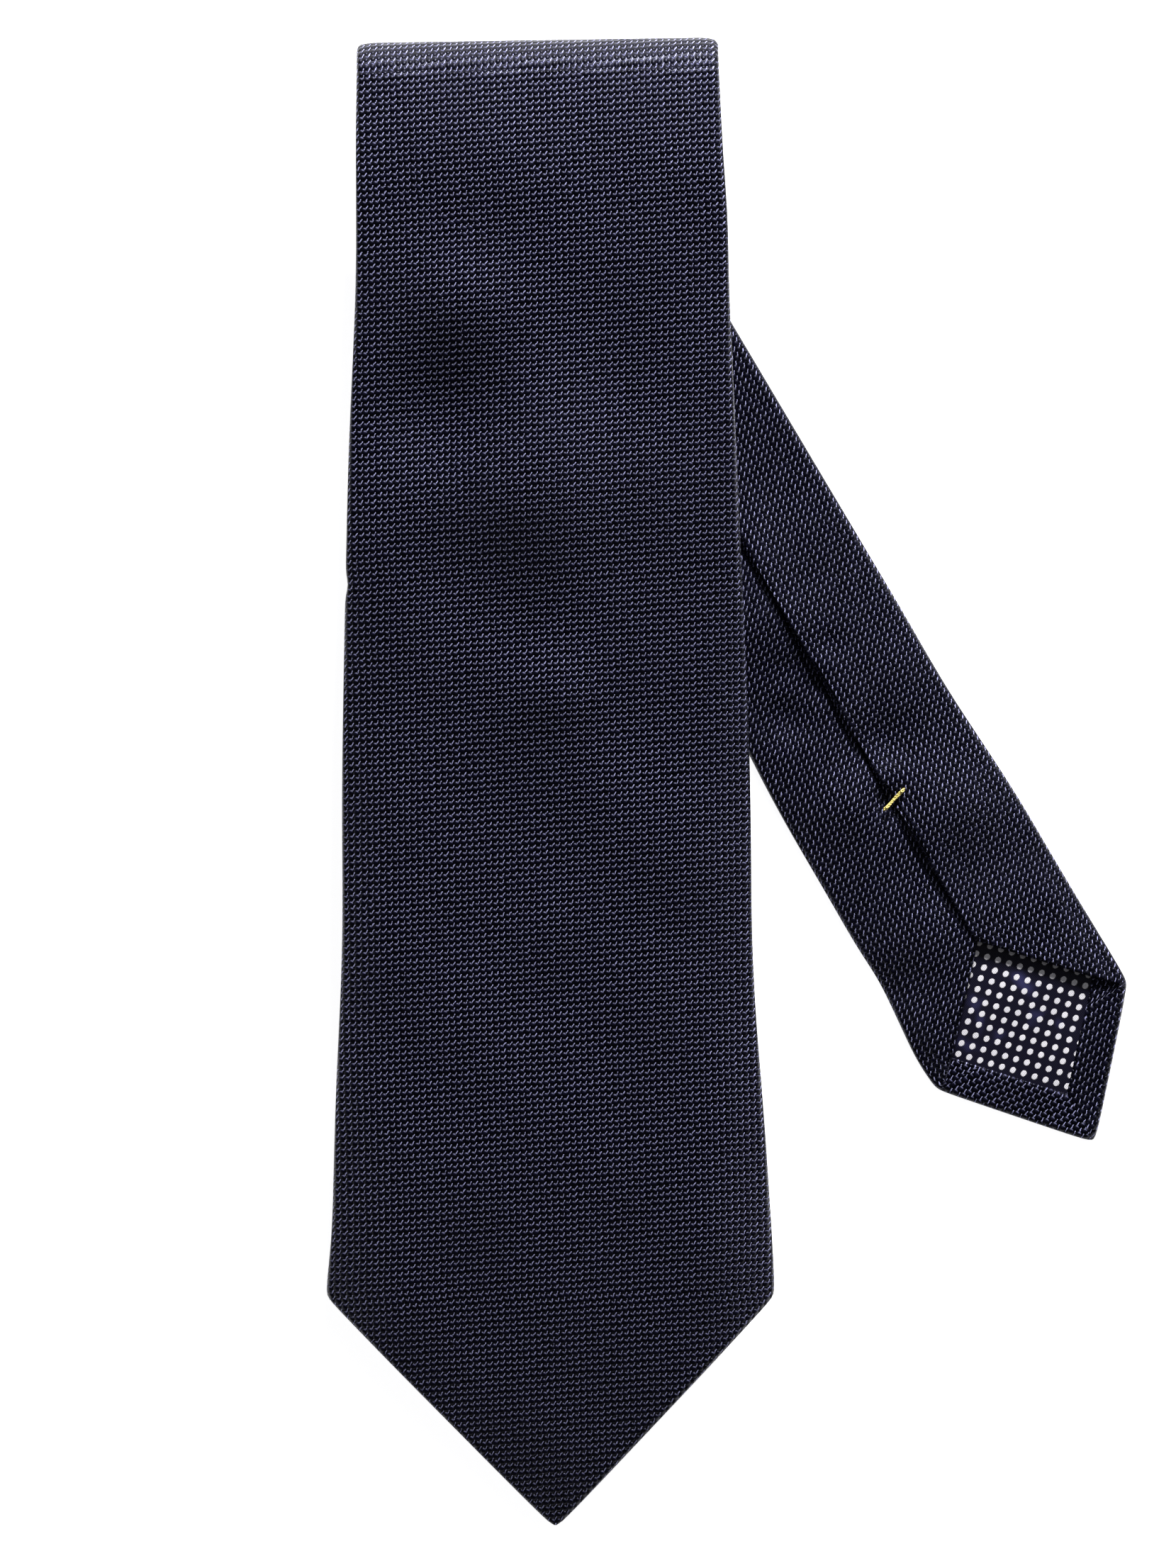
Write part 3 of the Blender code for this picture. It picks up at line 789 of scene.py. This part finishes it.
class Graph:
    """Builds one material's nodes around its Principled shader."""

    def __init__(self, name, roughness, sheen=0.0, specular=0.5):
        self.material = bpy.data.materials.new(name)
        self.material.use_nodes = True
        self.nodes = self.material.node_tree.nodes
        self.links = self.material.node_tree.links
        self.shader = self.nodes["Principled BSDF"]
        self.shader.inputs["Roughness"].default_value = roughness
        self.shader.inputs["Sheen Weight"].default_value = sheen
        self.shader.inputs["Sheen Roughness"].default_value = 0.4
        self.shader.inputs["Specular IOR Level"].default_value = specular

    def feed(self, socket, value):
        if isinstance(value, Wire):
            self.links.new(value.socket, socket)
        else:
            socket.default_value = value

    def math(self, operation, first, second=0.0):
        node = self.nodes.new("ShaderNodeMath")
        node.operation = operation
        self.feed(node.inputs[0], first)
        self.feed(node.inputs[1], second)
        return Wire(self, node.outputs[0])

    def cloth(self):
        """The cloth coordinates, in metres."""
        node = self.nodes.new("ShaderNodeUVMap")
        node.uv_map = "cloth"
        split = self.nodes.new("ShaderNodeSeparateXYZ")
        self.links.new(node.outputs[0], split.inputs[0])
        return Wire(self, split.outputs[0]), Wire(self, split.outputs[1])

    def vector(self, x, y, z=0.0):
        node = self.nodes.new("ShaderNodeCombineXYZ")
        for socket, value in zip(node.inputs, (x, y, z)):
            self.feed(socket, value)
        return Wire(self, node.outputs[0])

    def noise(self, vector, scale, detail):
        node = self.nodes.new("ShaderNodeTexNoise")
        node.inputs["Scale"].default_value = scale
        node.inputs["Detail"].default_value = detail
        self.feed(node.inputs["Vector"], vector)
        return Wire(self, node.outputs["Fac"])

    def chance(self, vector):
        """A fixed random number for each cell."""
        node = self.nodes.new("ShaderNodeTexWhiteNoise")
        self.feed(node.inputs["Vector"], vector)
        return Wire(self, node.outputs["Value"])

    def ramp(self, value, low, high, from_value=0.0, to_value=1.0):
        node = self.nodes.new("ShaderNodeMapRange")
        node.interpolation_type = "SMOOTHSTEP"
        for socket, setting in zip(node.inputs, (value, low, high, from_value, to_value)):
            self.feed(socket, setting)
        return Wire(self, node.outputs[0])

    def mix(self, share, first, second):
        """Between two colours, each a wire or three numbers."""
        node = self.nodes.new("ShaderNodeMix")
        node.data_type = "RGBA"
        self.feed(node.inputs[0], share)
        for socket, value in ((node.inputs[6], first), (node.inputs[7], second)):
            self.feed(socket, value if isinstance(value, Wire) else (*value, 1))
        return Wire(self, node.outputs[2])

    def finish(self, colour, height, distance, roughness=None):
        """Sets the colour, and a bump as deep as the distance for a height of 1."""
        bump_node = self.nodes.new("ShaderNodeBump")
        bump_node.inputs["Distance"].default_value = distance
        bump_node.inputs["Strength"].default_value = 1.0
        self.feed(bump_node.inputs["Height"], height)
        self.links.new(bump_node.outputs[0], self.shader.inputs["Normal"])
        self.feed(self.shader.inputs["Base Color"], colour)
        if roughness is not None:
            self.feed(self.shader.inputs["Roughness"], roughness)
        return self.material


def fraction(value):
    return value - value.floor()


KNOT_PITCH = (0.00112, 0.00117)
ROW_LEAN = 0.072
SLANT = (0.84, 0.54)  # cosine and sine of the strands' slant
UNEVEN = 0.10
DOT_PITCH = 0.00205
TWILL = 0.00030
PLY_TWIST = 0.00055


def shell_cloth():
    """Round dark knots in a nearly square lattice, with fine pale strands that slant through the gaps; each
    knot carries a painted highlight on its upper edge, the strands' pale colour is partly a painted glint,
    and the gaps hold painted shade.
    """
    graph = Graph("grenadine_silk", 0.40, specular=0.14)
    graph.shader.inputs["Specular Tint"].default_value = (0.72, 0.74, 1.0, 1)
    u, v = graph.cloth()
    sway = graph.noise(graph.vector(u, v), 260.0, 1.0) - 0.5
    column = (u + sway * 0.00035) * (1 / KNOT_PITCH[0])
    row = (v - u * ROW_LEAN + sway * 0.00030) * (1 / KNOT_PITCH[1])
    across, along = fraction(column) - 0.5, fraction(row) - 0.5
    luck = graph.chance(graph.vector(column.floor(), row.floor()))
    luck_too = graph.chance(graph.vector(column.floor(), row.floor(), 7.3))
    across = across + (luck - 0.5) * UNEVEN
    along = along + (luck_too - 0.5) * UNEVEN
    distance = across * across * 4.6 + along * along * 4.9
    knot = (1.0 - distance).root()
    gap_across, gap_along = fraction(column + 0.5) - 0.5, fraction(row + 0.5) - 0.5
    off_strand = (gap_across * SLANT[0] - gap_along * SLANT[1] + (luck - 0.5) * 0.12).absolute()
    length_along = (gap_across * SLANT[1] + gap_along * SLANT[0]).absolute()
    strand = graph.ramp(off_strand, 0.094, 0.042) * graph.ramp(length_along, 0.43, 0.24)
    height = graph.math("MAXIMUM", knot, strand * 0.45)
    shade = graph.noise(graph.vector(u, v), 42.0, 3.0)
    knot_colour = graph.mix(luck, (0.0008, 0.0008, 0.0032), (0.0030, 0.0030, 0.0100))
    # Painted highlight: a pale lilac crescent on the upper, right edge of each knot, where the key light
    # would catch it.
    painted_crest_highlight = graph.ramp(across * 0.55 + along, 0.21, 0.31) * graph.ramp(knot, 0.45, 0.75)
    knot_colour = graph.mix(painted_crest_highlight * (luck_too * 0.5 + 0.30), knot_colour, (0.120, 0.122, 0.235))
    # The strands' pale lilac is partly their own colour and partly a painted glint, and the near-black
    # between strands and knots is painted shade in the gaps.
    shown = strand * (shade * 0.9 + 0.375)
    gap_shade_and_strand_glint = graph.mix(shown, (0.0003, 0.0003, 0.0012), (0.44, 0.445, 0.76))
    colour = graph.mix(graph.ramp(knot, 0.15, 0.55), gap_shade_and_strand_glint, knot_colour)
    roughness = graph.ramp(luck_too, 0.0, 1.0, 0.34, 0.46)
    return graph.finish(colour, height, 0.00036, roughness)


def tipping_satin():
    """Fine diagonal twill with a square lattice of white oval dots, parallel to the edges of the point."""
    graph = Graph("dotted_satin", 0.36, specular=0.25)
    u, v = graph.cloth()
    turn = math.radians(45 + 1.5)
    first = (u * math.cos(turn) + v * math.sin(turn)) * (1 / DOT_PITCH)
    second = (v * math.cos(turn) - u * math.sin(turn)) * (1 / DOT_PITCH)
    a, b = fraction(first) - 0.5, fraction(second) - 0.5
    luck = graph.chance(graph.vector(first.floor(), second.floor()))
    distance = (a * a * 1.15 + b * b * 0.95 + a * b * 0.25).root()
    rag = graph.noise(graph.vector(u, v), 5200.0, 1.0)
    dot = graph.ramp(distance + rag * 0.10, 0.35, 0.29)
    twill = ((u * 0.45 + v) * (2 * math.pi / TWILL)).sine()
    shade = graph.noise(graph.vector(u, v), 120.0, 2.0)
    ridge = graph.ramp(twill * 0.5 + 0.5, 0.2, 0.9)
    ground = graph.mix(ridge, (0.0018, 0.0016, 0.0060), (0.010, 0.009, 0.027))
    ground = graph.mix(graph.ramp(shade, 0.56, 0.74), ground, (0.035, 0.035, 0.11))
    greyed = luck * 0.4 + graph.ramp(twill, -0.2, 1.0) * 0.35
    white = graph.mix(greyed, (0.86, 0.84, 0.89), (0.62, 0.61, 0.68))
    colour = graph.mix(dot, ground, white)
    return graph.finish(colour, twill * 0.35 + dot * 0.8, 0.00006)


def thread_material(name, colour, dark):
    """Plied thread: its plies wind round it, which the UV map gives as turn and length; the grooves between
    the plies carry painted shade.
    """
    graph = Graph(name, 0.42, sheen=0.25, specular=0.5)
    turn, length = graph.cloth()
    ply = ((turn * 2.0 + length * (1 / PLY_TWIST)) * (2 * math.pi)).sine()
    fuzz = graph.noise(graph.vector(turn, length * 900.0), 6.0, 2.0)
    # Painted shade: the colour goes dark in the grooves between the plies, with random fuzz on top.
    shade = graph.ramp(ply * 0.5 + 0.5, 0.0, 0.45) * (fuzz * 0.5 + 0.6)
    return graph.finish(graph.mix(shade, dark, colour), ply * 0.5 + fuzz * 0.4, 0.00008)


def interlining_wool():
    """Brushed wool with a loose visible weave."""
    graph = Graph("brushed_wool", 0.95, sheen=0.5, specular=0.2)
    u, v = graph.cloth()
    warp = ((u + v) * (2 * math.pi / 0.0011)).sine()
    weft = ((u - v) * (2 * math.pi / 0.0012)).sine()
    fuzz = graph.noise(graph.vector(u, v), 1800.0, 3.0)
    colour = graph.mix(fuzz, (0.52, 0.48, 0.40), (0.80, 0.77, 0.69))
    return graph.finish(colour, warp * weft * 0.3 + fuzz * 1.2, 0.00035)


def label_satin():
    """A plain woven satin label with nothing on it."""
    graph = Graph("plain_label_satin", 0.38, sheen=0.1, specular=0.5)
    u, v = graph.cloth()
    rib = (v * (2 * math.pi / 0.00034)).sine()
    fine = graph.noise(graph.vector(u * 0.2, v), 4200.0, 2.0)
    colour = graph.mix(fine, (0.52, 0.52, 0.57), (0.72, 0.72, 0.76))
    return graph.finish(colour, rib * 0.3 + fine * 0.5, 0.00006)


# ---------------------------------------------------------------- the pieces


def declare_sheet(item, with_pieces=()):
    """Works out a sheet's flat size and cut area from its cloth coordinates, but keeps neither."""
    mesh = item.data
    uv = np.zeros(len(mesh.loops) * 2, np.float32)
    mesh.uv_layers["cloth"].data.foreach_get("uv", uv)
    quads = uv.reshape(-1, 4, 2).astype(float)
    first, second = quads[:, 2] - quads[:, 0], quads[:, 3] - quads[:, 1]
    cloth_areas = np.abs(first[:, 0] * second[:, 1] - first[:, 1] * second[:, 0]) / 2
    made_areas = np.array([face.area for face in mesh.polygons])
    area = float(np.minimum(cloth_areas, 1.5 * made_areas).sum())
    width, length = (float(side) for side in np.ptp(quads.reshape(-1, 2), axis=0))
    area = min(max(area, 0.3 * width * length), width * length)


def add(item, body, slot, *nodes):
    """The piece rides on a body and stands for CAD nodes, which it hides; the slot is not used."""
    if body is not None:
        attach(item, body)
    if nodes:
        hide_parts(*nodes)
    return item


def crease_pieces(crease, upper, lower, turns, looks, step, tag=""):
    """The face and the back of the cloth round one crease, and at the tall top fold its interlining.

    In the tight creases the interlining would show through when they open.
    """
    made = []
    for part, z in (("face", FACE_Z), ("back", (UNDER_Z + OVER_Z) / 2)):
        item = loop_sheet(f"crease_{crease + 1}{tag}_{part}", crease, part, turns, looks["shell"], step)
        made.append(add(blend_rows(item, crease, turns, z), None, "shell_cloth"))
    if crease == 0:
        felt = felt_loop(f"crease_{crease + 1}{tag}_interlining", crease, turns, looks["wool"])
        made.append(add(blend_rows(felt, crease, turns, FELT_Z), None, "interlining_wool"))
    return made


def top_fold_pieces(looks):
    """The rolled top: a middle strip on its own body, and a strip on each side."""
    first, second = ROLL_MIDDLE
    before = first * np.linspace(0, 1, 17) ** 1.6
    after = math.pi - (math.pi - second) * np.linspace(1, 0, 17) ** 1.6
    between = np.linspace(first, second, 6)
    made = crease_pieces(0, "blade", "top_fold", before, looks, FINE, "_upper")
    made += crease_pieces(0, "top_fold", "fold_2", after, looks, FINE, "_lower")
    roll = loop_sheet("top_fold_roll", 0, "all", between, looks["shell"], FINE)
    add(roll, "top_fold", "shell_cloth", "top_fold_shell")
    felt = felt_loop("top_fold_wool", 0, between, looks["wool"])
    add(felt, "top_fold", "interlining_wool", "top_fold_interlining")
    row = loop_points(0, np.array([[0.0004, 0.0, UNDER_Z + 0.0003]]), between)[:, 0]
    thread = tube("top_fold_thread", [row], THREAD, looks["thread"], 6)
    add(thread, "top_fold", "sewing_thread", "top_fold_slip_stitch")
    return made + [roll, felt]


def keeper(looks):
    """The strap across the back of the blade, nearly flat, sewn down at both ends."""
    reach = KEEPER_HALF_SPAN + KEEPER_RISE + KEEPER_FOOT
    x = np.linspace(-reach, reach, 90)
    lifted = smooth(KEEPER_HALF_SPAN + KEEPER_RISE + 0.001, KEEPER_HALF_SPAN - 0.003, np.abs(x))
    z = PANEL + 0.0006 + KEEPER_HEIGHT * lifted * (1 - 0.12 * (x / KEEPER_HALF_SPAN) ** 2)
    y = run(*KEEPER_Y, FINE)
    edge = 0.0002 * np.clip(np.abs(y - sum(KEEPER_Y) / 2) / 0.0065, 0, 1) ** 6
    local = np.stack(np.broadcast_arrays(x[None, :], y[:, None], z[None, :] - edge[:, None]), axis=-1)
    u, v = np.broadcast_arrays(-x[None, :], y[:, None])
    strap = grid_object("keeper_strap", [(draped(0, local), u, v)], looks["shell"], 0.0008)
    add(strap, "blade", "shell_cloth", "keeper_loop")
    made = [strap]
    for sign, word in ((-1, "left"), (1, "right")):
        spot = sign * (KEEPER_HALF_SPAN + KEEPER_RISE + KEEPER_FOOT * 0.6)
        lift = PANEL + 0.0011
        name = f"keeper_stitches_{word}"
        sewn = stitch_row(0, name, spot, KEEPER_Y[0] + 0.001, KEEPER_Y[1], lift, looks["thread"])
        made.append(add(sewn, "blade", "sewing_thread", f"keeper_stitch_{word}"))
    declare_sheet(strap, made[1:])
    return made


def label(name, size, looks):
    """A blank label that follows the back of the blade, with a row of stitches down each side."""
    width, length, centre = size
    x, y = run(width / 2, -width / 2, FINE), run(centre - length / 2, centre + length / 2, FINE)
    lift = PANEL + 0.0004 + 0.00045 * np.outer(np.sin(np.linspace(0, math.pi, len(y))), np.ones(len(x)))
    local = np.stack((*np.meshgrid(x, y), lift), axis=-1)
    u, v = np.meshgrid(-x, y)
    item = grid_object(f"{name}_satin", [(draped(0, local), u, v)], looks["label"], 0.0003)
    add(item, "blade", "label_satin", name)
    rows = []
    for side, word in ((-1, "left"), (1, "right")):
        spot = side * (width / 2 - 0.002)
        low, high = centre - length / 2 + 0.001, centre + length / 2
        row = stitch_row(0, f"{name}_stitches_{word}", spot, low, high, PANEL + 0.0008, looks["thread"])
        rows.append(add(row, "blade", "sewing_thread", f"{name}_stitch_{word}"))
    declare_sheet(item, rows)


def fold_felt(index, name, node, looks):
    felt = add(interlining(index, name, looks["wool"]), BODIES[index], "interlining_wool", node)
    declare_sheet(felt)


def fold_thread(index, name, node, low, high, looks):
    add(slip_stitch(index, name, low, high, looks["thread"]), BODIES[index], "sewing_thread", node)


def blade(looks, top_pieces):
    silk = add(shell(0, "blade_silk", looks["shell"], FINE), "blade", "shell_cloth", "blade_shell")
    declare_sheet(silk, top_pieces)
    fold_felt(0, "blade_wool", "blade_interlining", looks)
    lining = add(tipping(0, "blade_lining", looks["satin"]), "blade", "tipping_satin", "blade_tipping")
    declare_sheet(lining)
    end = flat_end(0, 0)[0]
    fold_thread(0, "blade_slip_thread", "blade_slip_stitch", 0.098, end - 0.003, looks)
    tack = bar_tack(0, "blade_tack_threads", BLADE_TACK, looks["tack"])
    add(tack, "blade", "tack_thread", "blade_bar_tack")
    keeper(looks)
    label("maker_label", MAKER_LABEL, looks)
    label("care_label", CARE_LABEL, looks)


def seamed_stations(index, seam):
    """Stations of the two cut pieces of a fold on either side of its bias seam, where the slope is 1."""
    (low, low_slope), (high, high_slope) = flat_range(index)
    before, after = run(low, seam - SEAM_GAP, COARSE), run(seam + SEAM_GAP, high, COARSE)
    rising = low_slope + (1 - low_slope) * (before - low) / (before[-1] - low)
    falling = 1 + (high_slope - 1) * (after - after[0]) / (high - after[0])
    return list(zip(before, rising)), list(zip(after, falling))


def hidden_fold(index, shells, seam, seam_node, looks, loops):
    """One fold of the stack: one cut piece of the shell, or two with a seam between them."""
    spots = [None] if seam is None else seamed_stations(index, seam)
    for node, places in zip(shells, spots):
        silk = shell(index, node.replace("shell", "silk"), looks["shell"], MIDDLING, places)
        add(silk, BODIES[index], "shell_cloth", node)
        declare_sheet(silk, loops if node == shells[-1] else ())
    number = index + 1
    fold_felt(index, f"wool_{number}", f"interlining_{number}", looks)
    (low, _), (high, _) = flat_range(index)
    fold_thread(index, f"slip_thread_{number}", f"slip_stitch_{number}", low + 0.002, high - 0.002, looks)
    if seam is not None:
        seam_thread = bias_seam(index, seam_node + "_thread", seam, looks["thread"])
        add(seam_thread, BODIES[index], "sewing_thread", seam_node)


def tail(looks):
    silk = add(shell(TAIL, "tail_silk", looks["shell"], TAIL_STEP), "tail", "shell_cloth", "tail_shell")
    declare_sheet(silk)
    fold_felt(TAIL, "tail_wool", "tail_interlining", looks)
    lining = add(tipping(TAIL, "tail_lining", looks["satin"]), "tail", "tipping_satin", "tail_tipping")
    declare_sheet(lining)
    low = flat_end(TAIL, TAIL - 1)[0]
    end = panel_length(TAIL) - POINT_TRIM[TAIL][3] - LAP_START
    fold_thread(TAIL, "tail_slip_thread", "tail_slip_stitch", low + 0.006, end, looks)
    tack = bar_tack(TAIL, "tail_tack_threads", panel_length(TAIL) - TAIL_TACK, looks["tack"])
    add(tack, "tail", "tack_thread", "tail_bar_tack")


def necktie():
    looks = {
        "shell": shell_cloth(),
        "satin": tipping_satin(),
        "wool": interlining_wool(),
        "thread": thread_material("navy_thread", (0.020, 0.020, 0.045), (0.004, 0.004, 0.010)),
        "tack": thread_material("yellow_silk_thread", (0.98, 0.84, 0.26), (0.62, 0.45, 0.08)),
        "label": label_satin(),
    }
    half_circle = np.linspace(0, math.pi, 19)
    loops = [top_fold_pieces(looks)]
    for crease in range(1, TAIL):
        bodies = BODIES[crease:crease + 2]
        loops.append(crease_pieces(crease, *bodies, half_circle, looks, MIDDLING))
    blade(looks, loops[0])
    hidden = (
        (["blade_shell_fold_2"], None, None),
        (["blade_shell_fold_3", "neck_shell_fold_3"], BLADE_TO_NECK_SEAM, "blade_to_neck_seam"),
        (["neck_shell_fold_4"], None, None),
        (["neck_shell_fold_5", "tail_shell_fold_5"], NECK_TO_TAIL_SEAM, "neck_to_tail_seam"),
    )
    for index, (shells, seam, seam_node) in enumerate(hidden, 1):
        hidden_fold(index, shells, seam, seam_node, looks, loops[index])
    tail(looks)


# ---------------------------------------------------------------- the table, the light and the camera

VIEW_CENTRE = (-0.0250, -0.0007)
VIEW_HEIGHT = 0.2827
CAMERA_DISTANCE = 2.5
TIE_MIDDLE_Z = 0.012
SENSOR = 36.0
AMBIENT = 0.10
KEY_WATTS = 74.0
FILL_WATTS = 1.5
TABLE_GLOW = 0.92  # a light table, which keeps the ground white beside the tie


def table():
    bpy.ops.mesh.primitive_plane_add(size=6.0, location=(0, 0, -0.0002))
    floor = bpy.context.object
    floor.name = "table"
    graph = Graph("white_paper", 0.9, specular=0.0)
    place = graph.nodes.new("ShaderNodeNewGeometry")
    grain = graph.noise(Wire(graph, place.outputs["Position"]), 900.0, 2.0)
    graph.shader.inputs["Emission Color"].default_value = (1, 1, 1, 1)
    graph.shader.inputs["Emission Strength"].default_value = TABLE_GLOW
    white = graph.mix(grain, (0.93, 0.93, 0.93), (0.96, 0.96, 0.96))
    floor.data.materials.append(graph.finish(white, grain, 0.00002))


def area_light(name, place, aim, size, power, colour):
    data = bpy.data.lights.new(name, "AREA")
    data.shape = "RECTANGLE"
    data.size, data.size_y = size
    data.energy = power
    data.color = colour
    lamp = bpy.data.objects.new(name, data)
    lamp.location = place
    x, y, z = np.array(place) - np.array(aim)
    lamp.rotation_euler = (math.atan2(math.hypot(x, y), z), 0, math.atan2(y, x) + math.pi / 2)
    bpy.context.scene.collection.objects.link(lamp)


def light():
    world = bpy.data.worlds.new("studio")
    world.use_nodes = True
    background = world.node_tree.nodes["Background"]
    background.inputs["Color"].default_value = (1, 1, 1, 1)
    background.inputs["Strength"].default_value = AMBIENT
    bpy.context.scene.world = world
    area_light("key", (0.22, 1.48, 0.62), (-0.02, 0, 0), (0.40, 0.30), KEY_WATTS, (1.0, 0.99, 0.98))
    area_light("fill", (0.5, 0.7, 1.4), (0, 0, 0), (0.9, 0.9), FILL_WATTS, (0.93, 0.95, 1.0))


def camera():
    data = bpy.data.cameras.new("camera")
    data.sensor_width = SENSOR
    data.lens = SENSOR * CAMERA_DISTANCE / VIEW_HEIGHT
    data.clip_start, data.clip_end = 0.1, 10
    eye = bpy.data.objects.new("camera", data)
    eye.location = (*VIEW_CENTRE, TIE_MIDDLE_Z + CAMERA_DISTANCE)
    bpy.context.scene.collection.objects.link(eye)
    bpy.context.scene.camera = eye
    bpy.context.scene.view_settings.view_transform = "Standard"


necktie()
table()
light()
camera()
